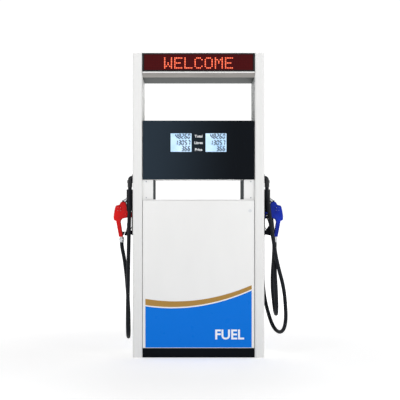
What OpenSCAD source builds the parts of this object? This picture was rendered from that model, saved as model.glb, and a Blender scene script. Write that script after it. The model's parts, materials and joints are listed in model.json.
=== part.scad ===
// Two-hose island fuel dispenser: a lower cabinet between two full-height
// columns, a display head carried on neck posts, and a lit sign across the top.
// Millimetres. +Z up, the front faces -Y, and the origin is on the ground at
// the centre of the anchor bolts. Front and rear are the same, turned half round.

/* [Body] */
// Overall width across both columns
body_w = 950; // [930:5:970]
// Depth of the columns, front to back
body_d = 420; // [412:2:430]
// Overall height above the ground
body_h = 2200; // [2160:5:2260]
// Width of each column, seen from the front
col_w = 70; // [68:1:72]
// Corner radius of the columns
col_r = 16; // [12:1:20]
// Wall thickness of the columns
col_t = 2.5; // [2:0.5:3]
// Height of the black plinth
plinth_h = 67; // [62:1:70]
// Height of the top of the lower cabinet
cabinet_top = 1141; // [1136:1:1144]

/* [Display head] */
// Bottom of the display head
head_z0 = 1285; // [1280:1:1290]
// Top of the display door
head_z1 = 1711; // [1705:1:1715]
// Distance from the middle to the centre of each readout
lcd_x = 126; // [110:1:140]
// Height of the centre of the readouts
lcd_z = 1552; // [1530:1:1570]
// Visible width of a readout
lcd_w = 153; // [140:1:160]
// Visible height of a readout
lcd_h = 135; // [120:1:140]
// Width of each neck post under the display head
neck_w = 83; // [70:1:90]

/* [Sign] */
// Height of the lit sign's face
sign_h = 137; // [120:1:150]
// Height of the lip under the sign
lip_h = 40; // [30:1:45]

/* [Doors] */
// Thickness of the folded edge of the cabinet doors
door_t = 25; // [20:1:28]
// Height of the cabinet door lock
lock_z = 1060; // [950:5:1090]

/* [Fixings] */
// Anchor bolt spacing across the width
anchor_x = 620; // [560:5:640]
// Anchor bolt spacing, front to back
anchor_y = 300; // [296:2:304]
// Radius of the anchor bolt holes
anchor_r = 8; // [6:0.5:9]
// Bore radius of the fuel inlet pipe
inlet_r = 26; // [20:1:27]

/* [Belt drive] */
// Outer radius of the pump pulley
pump_pulley_r = 90; // [80:1:95]
// Outer radius of the motor pulley
motor_pulley_r = 40; // [35:1:45]

/* [Hoses] */
// Outside diameter of the hoses
hose_d = 28; // [24:0.5:28]
// Height of the hose outlets on the columns
outlet_z = 1300; // [1290:1:1305]

/* [Hidden] */
$fn = 48;
ix = body_w/2 - col_w;          // inner face of the columns
dx = ix - 3;                    // side edge of the doors
hy = body_d/2;                  // front face of the columns
pivot = [-(dx - 6), -192];      // vertical axis of the front door
door_y = -198;                  // front face of the front door
door_z0 = plinth_h + 2;
door_z1 = cabinet_top - 5;
glass_y = -207;                 // front face of the display glass
head_pin = [-195, head_z1 - 7]; // y and z of the display door's axis
sign_z0 = body_h - sign_h;
lip_z0 = sign_z0 - lip_h;
lock_x = dx - 30;
nz_y = -60;                     // plane of the nozzles
out_y = -130;                   // plane of the hose outlets
side_x = body_w/2 - 475;        // shift of everything on the column sides
pump_c = [-20, 290];            // x and z of the pump shaft
motor_c = [230, 235];           // x and z of the motor shaft
belt_y = -140;                  // middle plane of the belt
white = [0.92, 0.92, 0.91];
black = [0.05, 0.06, 0.07];
steel = [0.66, 0.67, 0.69];
cast = [0.45, 0.47, 0.50];
red = [0.80, 0.05, 0.07];
blue = [0.02, 0.16, 0.66];

// Hose routes: right-hand hose in full, left-hand hose with x measured outward.
left_route = [[499, -130, 1262], [500, -130, 1180], [503, -131, 1050],
    [507, -136, 850], [510, -148, 650], [511, -168, 480], [512, -182, 370],
    [512, -186, 300], [512, -185, 252], [512, -176, 206], [512, -151, 168],
    [512, -113, 143], [513, -70, 135], [514, -27, 143], [515, 11, 168],
    [517, 36, 206], [518, 46, 252], [519, 48, 310], [522, 42, 380],
    [526, 20, 475], [533, -14, 590], [545, -42, 700], [558, -58, 775],
    [563, -60, 812], [563, -60, 827]];
right_route = [[499, -130, 1262], [500, -130, 1200], [507, -130, 1130],
    [517, -130, 1050], [527, -130, 970], [539, -129, 890], [552, -128, 810],
    [569, -124, 710], [591, -115, 620], [614, -102, 535], [631, -86, 445],
    [640, -72, 350], [641, -63, 290], [639, -51, 236], [632, -29, 193],
    [620, 4, 164], [604, 44, 153], [585, 84, 162], [566, 117, 188],
    [549, 141, 228], [534, 159, 278], [519, 176, 335], [507, 192, 400],
    [499, 206, 465], [494, 214, 530], [493, 216, 620], [493, 216, 740],
    [493, 216, 870], [494, 216, 1000], [497, 210, 1044], [501, 185, 1081],
    [508, 148, 1106], [516, 104, 1115], [524, 60, 1106], [532, 23, 1081],
    [538, -2, 1044], [543, -8, 1000], [553, -7, 900], [562, 2, 800],
    [560, 20, 700], [555, 46, 600], [556, 78, 510], [560, 99, 450],
    [564, 104, 410], [568, 95, 366], [571, 71, 329], [573, 34, 304],
    [574, -9, 295], [574, -53, 304], [572, -89, 329], [571, -114, 366],
    [569, -123, 410], [567, -122, 460], [564, -116, 520], [561, -101, 600],
    [560, -82, 700], [562, -66, 775], [563, -60, 812], [563, -60, 827]];

function spline(p, i, t) = let (n = len(p) - 1,
        a = p[max(i - 1, 0)], b = p[i], c = p[min(i + 1, n)], d = p[min(i + 2, n)])
    0.5*(2*b + (c - a)*t + (2*a - 5*b + 4*c - d)*t*t + (3*b - a - 3*c + d)*t*t*t);
function route(p, k) = [for (i = [0:len(p) - 2], j = [0:k - 1]) spline(p, i, j/k),
    p[len(p) - 1]];
function unit(v) = v/norm(v);

// Shapes used by many pieces
module rrect(w, d, r) {
    square([w - 2*r, d], center = true);
    square([w, d - 2*r], center = true);
    for (a = [-1, 1], b = [-1, 1]) translate([a*(w/2 - r), b*(d/2 - r)]) circle(r);
}
module block(x0, x1, y0, y1, z0, z1)
    translate([x0, y0, z0]) cube([x1 - x0, y1 - y0, z1 - z0]);
// Outline in x and z, extruded from y0 to y1
module xz(y0, y1) translate([0, y1, 0]) rotate([90, 0, 0]) linear_extrude(y1 - y0) children();
// Outline in y and z, extruded from x0 to x1
module yz(x0, x1) translate([x0, 0, 0]) rotate([90, 0, 90]) linear_extrude(x1 - x0) children();
module rod_y(x, z, r, y0, y1) translate([x, y0, z]) rotate([-90, 0, 0]) cylinder(r = r, h = y1 - y0);
module rod_x(y, z, r, x0, x1) translate([x0, y, z]) rotate([0, 90, 0]) cylinder(r = r, h = x1 - x0);
module rod_z(x, y, r, z0, z1) translate([x, y, z0]) cylinder(r = r, h = z1 - z0);
// Quarter bend in the x-z plane about (x, z), starting at angle a
module bend(x, y, z, big, r, a)
    translate([x, y, z]) rotate([0, -a, 0]) rotate([90, 0, 0])
        rotate_extrude(angle = 90) translate([big, 0]) circle(r);
// Strip of even thickness along points in a plane
module band(p, t) {
    n = len(p) - 1;
    nrm = [for (i = [0:n]) let (d = unit(p[min(i + 1, n)] - p[max(i - 1, 0)])) [-d[1], d[0]]*t/2];
    polygon(concat([for (i = [0:n]) p[i] + nrm[i]], [for (i = [n:-1:0]) p[i] - nrm[i]]));
}
module right() translate([side_x, 0, 0]) children();
module left() mirror([1, 0, 0]) translate([side_x, 0, 0]) children();
module front() children();
module rear() rotate([0, 0, 180]) children();

// Closed tube swept along a list of points
module tube(p, r) {
    n = len(p);
    m = 8;
    pts = [for (i = [0:n - 1]) let (
            t = unit(p[min(i + 1, n - 1)] - p[max(i - 1, 0)]),
            u = unit(cross(t, [1, 0, 0])), v = cross(t, u))
        for (j = [0:m - 1]) p[i] + r*(cos(j*360/m)*u + sin(j*360/m)*v)];
    sides = [for (i = [0:n - 2], j = [0:m - 1]) each [
        [i*m + j, (i + 1)*m + j, i*m + (j + 1)%m],
        [(i + 1)*m + j, (i + 1)*m + (j + 1)%m, i*m + (j + 1)%m]]];
    polyhedron(pts, concat(sides, [[for (j = [0:m - 1]) j]],
        [[for (j = [m - 1:-1:0]) (n - 1)*m + j]]));
}

// Welded plinth: four folded walls, floor flange with anchor holes, two cross rails
module base_frame() color(black) difference() {
    union() {
        difference() {
            block(-ix, ix, -196, 196, 0, plinth_h);
            block(-ix + 3, ix - 3, -193, 193, 6, plinth_h - 3);
            block(-ix + 60, ix - 60, -136, 136, -1, 7);
            block(-ix + 25, ix - 25, -171, 171, plinth_h - 4, plinth_h + 1);
        }
        for (s = [-1, 1]) block(-ix + 2, ix - 2, min(s*95, s*125), max(s*95, s*125),
            plinth_h - 20, plinth_h);
    }
    for (a = [-1, 1], b = [-1, 1])
        rod_z(a*anchor_x/2, b*anchor_y/2, anchor_r, -1, 7);
}

module column(s) color(white) difference() {
    translate([s*(body_w - col_w)/2, 0, 0]) linear_extrude(body_h - 4) difference() {
        rrect(col_w, body_d, col_r);
        rrect(col_w - 2*col_t, body_d - 2*col_t, col_r - col_t);
    }
    rod_x(out_y, outlet_z, 14.5, s > 0 ? body_w/2 - 6 : -body_w/2 - 1, s > 0 ? body_w/2 + 1 : -body_w/2 + 6);
    rod_x(out_y, 880, 14.5, s > 0 ? ix - 1 : -ix - 6, s > 0 ? ix + 6 : -ix + 1);
}
module left_column() column(-1);
module right_column() column(1);

module column_caps() color(white) for (s = [-1, 1]) translate([s*(body_w - col_w)/2, 0, 0]) {
    translate([0, 0, body_h - 4]) linear_extrude(4) rrect(col_w, body_d, col_r);
    translate([0, 0, body_h - 16]) linear_extrude(12) difference() {
        rrect(col_w - 2*col_t - 0.6, body_d - 2*col_t - 0.6, col_r - col_t);
        rrect(col_w - 2*col_t - 5, body_d - 2*col_t - 5, col_r - col_t - 2);
    }
}

module neck_post(s) color(white) difference() {
    block(s > 0 ? ix - neck_w : -ix, s > 0 ? ix : -ix + neck_w, -188, 188, cabinet_top, head_z0);
    block(s > 0 ? ix - neck_w + 2 : -ix + 2, s > 0 ? ix - 2 : -ix + neck_w - 2, -186, 186,
        cabinet_top - 1, head_z0 + 1);
}
module left_neck_post() neck_post(-1);
module right_neck_post() neck_post(1);

module cabinet_roof() color(white) {
    block(-ix, ix, -198, 198, cabinet_top - 3, cabinet_top);
    for (s = [-1, 1]) block(-ix, ix, s*166 - 1.5, s*166 + 1.5, cabinet_top - 25, cabinet_top - 2);
}

// Sign housing: a tube across the columns with a bevelled lip below
module sign_housing() color(white) yz(-ix, ix) difference() {
    polygon([[-209, sign_z0], [-209, sign_z0 - 8], [-196, lip_z0], [196, lip_z0],
        [209, sign_z0 - 8], [209, sign_z0], [205, sign_z0], [205, body_h],
        [-205, body_h], [-205, sign_z0]]);
    polygon([[-207, sign_z0 - 2], [-207, sign_z0 - 7.5], [-194.5, lip_z0 + 2],
        [194.5, lip_z0 + 2], [207, sign_z0 - 7.5], [207, sign_z0 - 2]]);
    translate([-220, sign_z0 + 2]) square([440, sign_h - 4]);
}
module sign_bezel() difference() {
    block(-ix, ix, -206, -200, sign_z0 + 2, body_h - 2);
    block(-ix + 11, ix - 11, -207, -199, sign_z0 + 12, body_h - 11);
}
module sign_bezels() color(black) { front() sign_bezel(); rear() sign_bezel(); }
module sign_window() block(-ix + 5, ix - 5, -200, -196, sign_z0 + 6, body_h - 6);
module sign_windows() color([0.26, 0.03, 0.04]) { front() sign_window(); rear() sign_window(); }
module sign_led_board() {
    block(-300, 300, -186, -182, sign_z0 + 14, body_h - 14);
    for (x = [-280, 0, 280]) block(x - 10, x + 10, -182, -1, sign_z0 + 50, sign_z0 + 70);
}
module sign_led_boards() color([0.10, 0.30, 0.16]) { front() sign_led_board(); rear() sign_led_board(); }

// Display head
module display_housing() color(white) {
    difference() {
        block(-ix, ix, -181, 181, head_z0, head_z1 - 3);
        block(-ix + 2, ix - 2, -182, 182, head_z0 + 2, head_z1 - 5);
    }
    for (x = [-1, 1]) block(x*320 - 12, x*320 + 12, -2, 2, head_z0 + 1, head_z1 - 4);
}
module lcd_holes(y0, y1, grow)
    for (x = [-1, 1]) block(x*lcd_x - lcd_w/2 - grow, x*lcd_x + lcd_w/2 + grow, y0, y1,
        lcd_z - lcd_h/2 - grow, lcd_z + lcd_h/2 + grow);
module display_door() difference() {
    union() {
        difference() {
            block(-dx, dx, glass_y + 4, -184, head_z0 + 1, head_z1);
            block(-dx + 2, dx - 2, glass_y + 7, -183, head_z0 + 3, head_z1 - 2);
        }
        for (x = [-dx, dx - 20])
            block(x, x + 20, glass_y + 5, -186, head_z1 - 15, head_z1 - 1);
    }
    lcd_holes(glass_y, -190, 2);
    rod_x(head_pin[0], head_pin[1], 4.05, -dx - 1, -dx + 21);
    rod_x(head_pin[0], head_pin[1], 4.05, dx - 21, dx + 1);
}
module display_glass() difference() {
    block(-dx, dx, glass_y, glass_y + 4, head_z0 + 1, head_z1);
    lcd_holes(glass_y - 1, glass_y + 5, 0);
}
module lcd_modules() {
    lcd_holes(glass_y + 0.8, glass_y + 8, -0.5);
    lcd_holes(glass_y + 7, glass_y + 18, 7);
}
module front_display_door() color(black) front() display_door();
module rear_display_door() color(black) rear() display_door();
module front_display_glass() color([0.06, 0.08, 0.11]) front() display_glass();
module rear_display_glass() color([0.06, 0.08, 0.11]) rear() display_glass();
module front_lcd_modules() color([0.65, 0.82, 0.94]) front() lcd_modules();
module rear_lcd_modules() color([0.65, 0.82, 0.94]) rear() lcd_modules();

// Control board on the head's two rails, with its transformer and connectors
module main_board() color([0.10, 0.35, 0.18]) {
    for (x = [-1, 1], z = [1390, 1600]) rod_y(x*320, z, 5, -14, -2);
    block(-340, 340, -18, -14, 1360, 1630);
    block(-60, 20, -70, -18, 1400, 1470);
    block(80, 220, -50, -18, 1500, 1560);
    for (x = [-300:40:-140]) block(x, x + 26, -32, -18, 1370, 1385);
    block(-260, -160, -45, -18, 1520, 1600);
}

// Pivot pins: vertical on the cabinet doors, horizontal on the display doors
module hinge_pins() color(steel) for (a = [0, 180]) rotate([0, 0, a]) {
    rod_z(pivot[0], pivot[1], 4, plinth_h, plinth_h + 18);
    rod_z(pivot[0], pivot[1], 4, cabinet_top - 21, cabinet_top - 3);
    rod_x(head_pin[0], head_pin[1], 4, -ix, -ix + 20);
    rod_x(head_pin[0], head_pin[1], 4, ix - 20, ix);
}

// Cabinet door: folded tray with hinge blocks, a lock boss and two stiffeners
module cabinet_door() difference() {
    union() {
        difference() {
            block(-dx, dx, door_y, door_y + door_t, door_z0, door_z1);
            block(-dx + 1.5, dx - 1.5, door_y + 1.5, door_y + door_t + 1,
                door_z0 + 1.5, door_z1 - 1.5);
        }
        for (z = [door_z0, door_z1 - 20]) block(-dx, -dx + 12, door_y, door_y + 12, z, z + 20);
        block(lock_x - 14, lock_x + 14, door_y + 1, door_y + 12, lock_z - 15, lock_z + 15);
        for (z = [300, 800]) block(-dx + 1, dx - 1, door_y + 1, door_y + 13, z, z + 30);
    }
    rod_z(pivot[0], pivot[1], 4.05, door_z0 - 1, door_z0 + 21);
    rod_z(pivot[0], pivot[1], 4.05, door_z1 - 21, door_z1 + 1);
    rod_y(lock_x, lock_z, 9.05, door_y - 1, door_y + 13);
}
module front_door() color(white) front() cabinet_door();
module rear_door() color(white) rear() cabinet_door();

// Cam lock, shown unlocked with its cam up
module door_lock() difference() {
    union() {
        rod_y(lock_x, lock_z, 12, door_y - 3, door_y - 0.3);
        rod_y(lock_x, lock_z, 9, door_y - 0.5, -160);
        rod_y(lock_x, lock_z, 12, door_y + 12.3, door_y + 17);
        xz(-163, -159) translate([lock_x, lock_z]) {
            translate([-6, 0]) square([12, 27]);
            circle(10);
        }
    }
    block(lock_x - 1, lock_x + 1, door_y - 4, door_y - 1.5, lock_z - 6, lock_z + 6);
}
module front_door_lock() color(steel) front() door_lock();
module rear_door_lock() color(steel) rear() door_lock();
module door_strikes() color(steel) for (a = [0, 180]) rotate([0, 0, a]) {
    block(ix - 17, ix, -170, -166, lock_z - 12, lock_z + 12);
    block(ix - 3, ix, -166, -140, lock_z - 12, lock_z + 12);
}

// Motor, along y
module motor() color(cast) difference() {
    union() {
        rod_y(motor_c[0], motor_c[1], 82, -80, 105);
        rod_y(motor_c[0], motor_c[1], 60, -95, 120);
        for (k = [0:11]) translate([motor_c[0], 0, motor_c[1]]) rotate([0, k*30, 0])
            block(80, 88, -70, 95, -2, 2);
        block(160, 300, -125, 125, plinth_h, plinth_h + 12);
        block(185, 275, -60, 90, plinth_h + 10, 175);
        block(195, 265, -40, 40, motor_c[1] + 70, motor_c[1] + 120);
    }
    rod_y(motor_c[0], motor_c[1], 10.05, -96, 100);
}
module motor_shaft() color(steel) rod_y(motor_c[0], motor_c[1], 10, -160, 95);

// V pulley on a shaft along y: outer radius, shaft radius
module v_pulley(c, r, shaft_r) translate([c[0], belt_y, c[1]]) rotate([-90, 0, 0])
    rotate_extrude() polygon([[shaft_r, -14], [shaft_r + 12, -14], [shaft_r + 12, -10.5],
        [r, -10.5], [r, -8.5], [r - 10, -7.5], [r - 10, 7.5], [r, 8.5], [r, 10.5],
        [shaft_r + 12, 10.5], [shaft_r + 12, 14], [shaft_r, 14]]);
module motor_pulley() color(cast) v_pulley(motor_c, motor_pulley_r, 10);
module pump_pulley() color(cast) difference() {
    v_pulley(pump_c, pump_pulley_r, 12);
    for (k = [0:4]) translate([pump_c[0], 0, pump_c[1]]) rotate([0, k*72, 0])
        rod_y(50, 0, 15, belt_y - 20, belt_y + 20);
}
// Belt outline round both pulleys at a given depth below their rims
function belt_pts(inset) = let (d = motor_c - pump_c, l = norm(d), phi = atan2(d[1], d[0]),
        r1 = pump_pulley_r - inset, r2 = motor_pulley_r - inset, al = acos((r1 - r2)/l))
    [pump_c + r1*[cos(phi + al), sin(phi + al)], motor_c + r2*[cos(phi + al), sin(phi + al)],
     motor_c + r2*[cos(phi - al), sin(phi - al)], pump_c + r1*[cos(phi - al), sin(phi - al)]];
module belt_outline(inset) {
    polygon(belt_pts(inset));
    translate(pump_c) circle(pump_pulley_r - inset);
    translate(motor_c) circle(motor_pulley_r - inset);
}
module drive_belt() color(black) xz(belt_y - 7, belt_y + 7) difference() {
    belt_outline(1);
    belt_outline(9.5);
}

// Pumping unit: vane pump, filter and air separator in one casting
module pump_unit() color(cast) difference() {
    union() {
        block(-130, 90, -108, 108, 100, 385);
        block(-140, 100, -118, 118, 380, 400);
        for (s = [-1, 1]) block(-120, 80, s*110 - 14, s*110 + 14, plinth_h, 102);
        rod_y(pump_c[0], pump_c[1], 55, -118, -100);
        rod_y(50, 170, 32, 100, 140);
        rod_y(-80, 190, 40, 100, 132);
        rod_x(0, 190, 45, -160, -125);
        rod_z(-90, 40, 30, 398, 430);
    }
    rod_y(pump_c[0], pump_c[1], 12.05, -119, 90);
}
module pump_shaft() color(steel) rod_y(pump_c[0], pump_c[1], 12, -162, 85);

// Fuel inlet: flanged pipe up through the open middle of the plinth
module inlet_pipe() color(cast) difference() {
    union() {
        rod_z(-20, 0, 33, 20, 100);
        rod_z(-20, 0, 62, 20, 34);
        rod_z(-20, 0, 50, 88, 100);
    }
    rod_z(-20, 0, inlet_r, 19, 101);
    for (k = [0:3]) rotate_about(-20, 0, 45 + 90*k) rod_z(49, 0, 6, 19, 35);
}
module rotate_about(x, y, a) translate([x, y, 0]) rotate([0, 0, a]) children();

// Pipe from the pump up to both meters
module manifold_run(r, e) {
    rod_z(-20, -90, r, 400 - e, 470);
    rod_x(-90, 470, r, -170, 170);
    bend(170, -90, 500, 30, r, 270);
    bend(-170, -90, 500, 30, r, 180);
    for (s = [-1, 1]) rod_z(s*200, -90, r, 500, 520 + e);
}
module manifold() color(steel) difference() {
    union() {
        manifold_run(14, 0);
        rod_z(-20, -90, 28, 400, 408);
    }
    manifold_run(11, 1);
}

// Cross rail that carries the meters
module meter_rail() color(steel) difference() {
    union() {
        block(-ix, ix, -160, -20, 514, 520);
        for (y = [-160, -24]) block(-ix, ix, y, y + 4, 490, 516);
    }
    for (s = [-1, 1]) rod_z(s*200, -90, 17, 500, 521);
}

// Piston flow meters
module flow_meters() color([0.72, 0.73, 0.75]) for (s = [-1, 1]) translate([s*200, -90, 0])
    difference() {
        union() {
            rod_z(0, 0, 62, 520, 592);
            rod_z(0, 0, 70, 590, 600);
            for (k = [0:3]) rotate([0, 0, 45 + 90*k]) rod_x(0, 555, 28, 30, 78);
        }
        rod_z(0, 0, 11, 519, 560);
        rod_z(0, -40, 14, 560, 601);
    }
module meter_pulsers() color([0.20, 0.22, 0.24]) for (s = [-1, 1]) translate([s*200, -74, 0]) {
    rod_z(0, 0, 24, 600, 612);
    rod_z(0, 0, 29, 610, 668);
    rod_x(0, 645, 9, s > 0 ? 20 : -46, s > 0 ? 46 : -20);
}
module solenoid_valves() color([0.70, 0.56, 0.28]) for (s = [-1, 1]) translate([s*200, out_y, 0])
    difference() {
        union() {
            block(-25, 25, -25, 25, 600, 690);
            rod_z(0, 0, 20, 688, 760);
            rod_x(0, 650, 20, s > 0 ? -75 : 24, s > 0 ? -24 : 75);
        }
        rod_z(0, 0, 14, 599, 745);
        rod_z(0, 0, 11, 740, 761);
    }

// Pipes from the valves, out into the columns and up to the hose outlets
module delivery_run(r, e) {
    rod_z(200, out_y, r, 760 - e, 840);
    bend(240, out_y, 840, 40, r, 90);
    rod_x(out_y, 880, r, 240, 410 + side_x);
    bend(410 + side_x, out_y, 910, 30, r, 270);
    rod_z(440 + side_x, out_y, r, 910, outlet_z - 30);
    bend(470 + side_x, out_y, outlet_z - 30, 30, r, 90);
    rod_x(out_y, outlet_z, r, 470 + side_x, 475 + side_x + e);
}
module delivery_pipes() color(steel) for (m = [0, 1]) mirror([m, 0, 0]) difference() {
    delivery_run(14, 0);
    delivery_run(11, 1);
}

// Flameproof junction box on the right column
module junction_box() color(cast) {
    block(ix - 90, ix, 20, 140, 560, 690);
    block(ix - 98, ix - 88, 12, 148, 552, 698);
    for (y = [50, 110]) rod_z(ix - 45, y, 13, 530, 562);
    for (y = [24, 136], z = [564, 686]) rod_x(y, z, 5, ix - 102, ix - 97);
}

// Outlet fittings: wall flange, elbow and hose nut
module outlet_elbow() difference() {
    union() {
        block(475, 479, out_y - 28, out_y + 28, outlet_z - 34, outlet_z + 28);
        rod_x(out_y, outlet_z, 18, 478, 483);
        rod_x(out_y, outlet_z, 15, 479, 481);
        bend(481, out_y, outlet_z - 18, 18, 15, 0);
        translate([499, out_y, 1262]) cylinder(r = 20, h = outlet_z - 18 - 1262, $fn = 6);
        rod_z(499, out_y, 16.5, 1262, 1270);
    }
    rod_x(out_y, outlet_z, 11, 470, 482);
    bend(481, out_y, outlet_z - 18, 18, 11, 0);
    rod_z(499, out_y, 11, 1261, outlet_z - 17);
}
module outlet_elbows() color(black) { right() outlet_elbow(); left() outlet_elbow(); }

module left_hose() color(black) left() tube(route(left_route, 1), hose_d/2);
module right_hose() color(black) right() tube(route(right_route, 1), hose_d/2);

// Nozzle boot: back plate, hood for the spout, cradle with two cheeks, lever pin
module boot() {
    block(475, 478, nz_y - 36, nz_y + 36, 880, 1215);
    block(475, 522, nz_y - 36, nz_y + 36, 1212, 1215);
    for (y = [nz_y - 36, nz_y + 33]) {
        block(477, 522, y, y + 3, 1058, 1213);
        block(477, 489, y, y + 3, 880, 1060);
        xz(y, y + 3) polygon([[477, 888], [531, 877], [535, 884], [521, 949]]);
    }
    xz(nz_y - 34, nz_y + 34) polygon([[477, 905], [538, 899], [542, 881], [535, 878], [477, 890]]);
    rod_y(484.5, 1190, 3, nz_y - 34, nz_y + 34);
}
module left_boot() color(black) left() boot();
module right_boot() color(black) right() boot();
module boot_lever() difference() {
    union() {
        rod_y(484.5, 1190, 5.5, nz_y - 12, nz_y + 12);
        block(483.2, 485.8, nz_y - 12, nz_y + 12, 1115, 1188);
    }
    rod_y(484.5, 1190, 3.05, nz_y - 13, nz_y + 13);
}
module left_boot_lever() color(steel) left() boot_lever();
module right_boot_lever() color(steel) right() boot_lever();

// Half-drum saddle that holds the slack of the long right-hand hose
module hose_hook() color(black) right() difference() {
    union() {
        rod_x(104, 1000, 96.5, 475, 562);
        rod_x(104, 1000, 108, 475, 478);
        rod_x(104, 1000, 112, 559, 562);
    }
    rod_x(104, 1000, 91, 479, 563);
    block(470, 570, -20, 230, 860, 1000);
}

// Nozzle: casting with handle, pin for the trigger and stub for the swivel
module nozzle_body() difference() {
    union() {
        xz(nz_y - 22, nz_y + 22) polygon([[529, 1112], [533, 1121], [541, 1127], [551, 1128],
            [561, 1126], [570, 1121.5], [578, 1105], [586, 1101.5], [600, 1098.5], [607, 1094],
            [611, 1084], [616.5, 1060], [621, 1032], [622.5, 1009], [621.5, 993], [615, 987],
            [571, 987], [567, 990], [559, 998.5], [548, 1003], [534, 1005.5], [520, 1009],
            [484, 1010], [484, 1050], [519, 1054], [520.5, 1070], [523.5, 1092]]);
        xz(nz_y - 17, nz_y + 17) polygon([[568, 1000], [606, 1000], [583, 867], [551, 867]]);
        rod_y(581, 1072, 18, nz_y - 26, nz_y + 26);
        rod_z(563, nz_y, 10, 848, 875);
    }
    block(492, 521, nz_y - 8.5, nz_y + 8.5, 1000, 1038);
}
module nozzle_pin() rod_y(502, 1024, 3, nz_y - 22, nz_y + 22);
module left_nozzle_body() color(red) left() { nozzle_body(); nozzle_pin(); }
module right_nozzle_body() color(blue) right() { nozzle_body(); nozzle_pin(); }

module spout_root(z) translate([573 - 70*cos(45), nz_y, 1194 - 70*sin(45)])
    rotate([0, -45, 0]) translate([0, 0, z]) children();
module spout_run(r, e) {
    spout_root(-39 - e) cylinder(r = r, h = 39 + e);
    translate([573, nz_y, 1194]) rotate([0, -180, 0]) rotate([90, 0, 0])
        rotate_extrude(angle = 45) translate([70, 0]) circle(r);
    rod_z(503, nz_y, r, 1194, 1198 + e);
}
module spout() difference() {
    union() {
        spout_run(10.5, 0);
        spout_root(-37) cylinder(r = 13.5, h = 28);
    }
    spout_run(8.5, 1);
}
module left_spout() color(steel) left() spout();
module right_spout() color(steel) right() spout();

module trigger() difference() {
    union() {
        rod_y(502, 1024, 7, nz_y - 8, nz_y + 8);
        xz(nz_y - 8, nz_y + 8) band([[502, 1022], [509, 1000], [518, 975], [522, 955], [519, 932]], 7);
        rod_y(519, 932, 3.5, nz_y - 8, nz_y + 8);
    }
    rod_y(502, 1024, 3.05, nz_y - 9, nz_y + 9);
}
module left_trigger() color(black) left() trigger();
module right_trigger() color(black) right() trigger();
module trigger_guard() xz(nz_y - 11, nz_y + 11) {
    band([[488, 1012], [485.5, 985], [487, 950], [497, 924], [513, 909], [532, 905], [552, 905]], 5);
    polygon([[541, 905], [558, 905], [558, 881], [550, 880], [545, 889]]);
}
module left_trigger_guard() color(black) left() trigger_guard();
module right_trigger_guard() color(black) right() trigger_guard();

// Hose swivel: turns on the nozzle's stub
module swivel() translate([563, nz_y, 0]) {
    rotate_extrude() polygon([[0, 828], [15, 828], [15, 838], [17, 841], [17, 858],
        [15.5, 861], [15.5, 866.5], [10.05, 866.5], [10.05, 847.5], [0, 847.5]]);
    difference() {
        translate([0, 0, 843]) cylinder(r = 19.5, h = 12, $fn = 6);
        translate([0, 0, 840]) cylinder(r = 16, h = 20);
    }
}
module left_swivel() color(steel) left() swivel();
module right_swivel() color(steel) right() swivel();

// Pan-head screws that hold the neck posts' face panels
module panel_screws() color(steel) for (a = [0, 180]) rotate([0, 0, a])
    for (x = [-ix + 27, ix - 27], z = [cabinet_top + 14, head_z0 - 14]) {
        rod_y(x, z, 4.5, -190.5, -188);
        rod_y(x, z, 2, -188.5, -178);
    }

base_frame();
left_column();
right_column();
column_caps();
left_neck_post();
right_neck_post();
cabinet_roof();
sign_housing();
sign_bezels();
sign_windows();
sign_led_boards();
display_housing();
front_display_door();
front_display_glass();
front_lcd_modules();
rear_display_door();
rear_display_glass();
rear_lcd_modules();
main_board();
hinge_pins();
front_door();
rear_door();
front_door_lock();
rear_door_lock();
door_strikes();
motor();
motor_shaft();
motor_pulley();
drive_belt();
pump_unit();
pump_shaft();
pump_pulley();
inlet_pipe();
manifold();
meter_rail();
flow_meters();
meter_pulsers();
solenoid_valves();
delivery_pipes();
junction_box();
outlet_elbows();
left_hose();
right_hose();
left_boot();
right_boot();
left_boot_lever();
right_boot_lever();
hose_hook();
left_nozzle_body();
left_spout();
left_trigger();
left_trigger_guard();
left_swivel();
right_nozzle_body();
right_spout();
right_trigger();
right_trigger_guard();
right_swivel();
panel_screws();
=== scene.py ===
import bpy, bmesh, math, json
from mathutils import Vector, Matrix


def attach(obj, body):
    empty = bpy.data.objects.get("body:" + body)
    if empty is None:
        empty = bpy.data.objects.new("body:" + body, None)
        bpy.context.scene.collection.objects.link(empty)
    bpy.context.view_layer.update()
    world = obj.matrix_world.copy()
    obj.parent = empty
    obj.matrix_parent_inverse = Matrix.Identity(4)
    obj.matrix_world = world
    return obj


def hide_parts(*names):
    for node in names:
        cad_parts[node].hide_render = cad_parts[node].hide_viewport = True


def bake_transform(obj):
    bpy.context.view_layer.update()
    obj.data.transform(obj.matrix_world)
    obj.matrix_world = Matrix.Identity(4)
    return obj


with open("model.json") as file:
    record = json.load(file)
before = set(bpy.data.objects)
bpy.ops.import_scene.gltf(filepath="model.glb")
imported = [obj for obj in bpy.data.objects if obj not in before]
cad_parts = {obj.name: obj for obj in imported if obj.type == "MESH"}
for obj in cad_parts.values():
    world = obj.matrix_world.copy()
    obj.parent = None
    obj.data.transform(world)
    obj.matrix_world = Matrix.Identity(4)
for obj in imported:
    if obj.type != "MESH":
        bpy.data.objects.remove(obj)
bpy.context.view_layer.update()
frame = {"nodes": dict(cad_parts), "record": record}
N = frame["nodes"]
scene = bpy.context.scene
scene.view_settings.view_transform = "Standard"
scene.view_settings.look = "None"

# ------------------------------------------------------------------ camera
cam = bpy.data.cameras.new("camera")
cam.sensor_width = 36.0
cam.lens = 36.0 * 7.5 / 2.884
cam.shift_x = 0.03
cam.clip_end = 200
cam_o = bpy.data.objects.new("camera", cam)
cam_o.location = (-0.076, -7.71, 1.138)
cam_o.rotation_euler = (math.radians(90), 0, 0)
scene.collection.objects.link(cam_o)
scene.camera = cam_o


# --------------------------------------------------------------- node helpers
def lin(c):
    return [(x / 12.92 if x <= 0.04045 else ((x + 0.055) / 1.055) ** 2.4) for x in c] + [1.0]


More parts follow.
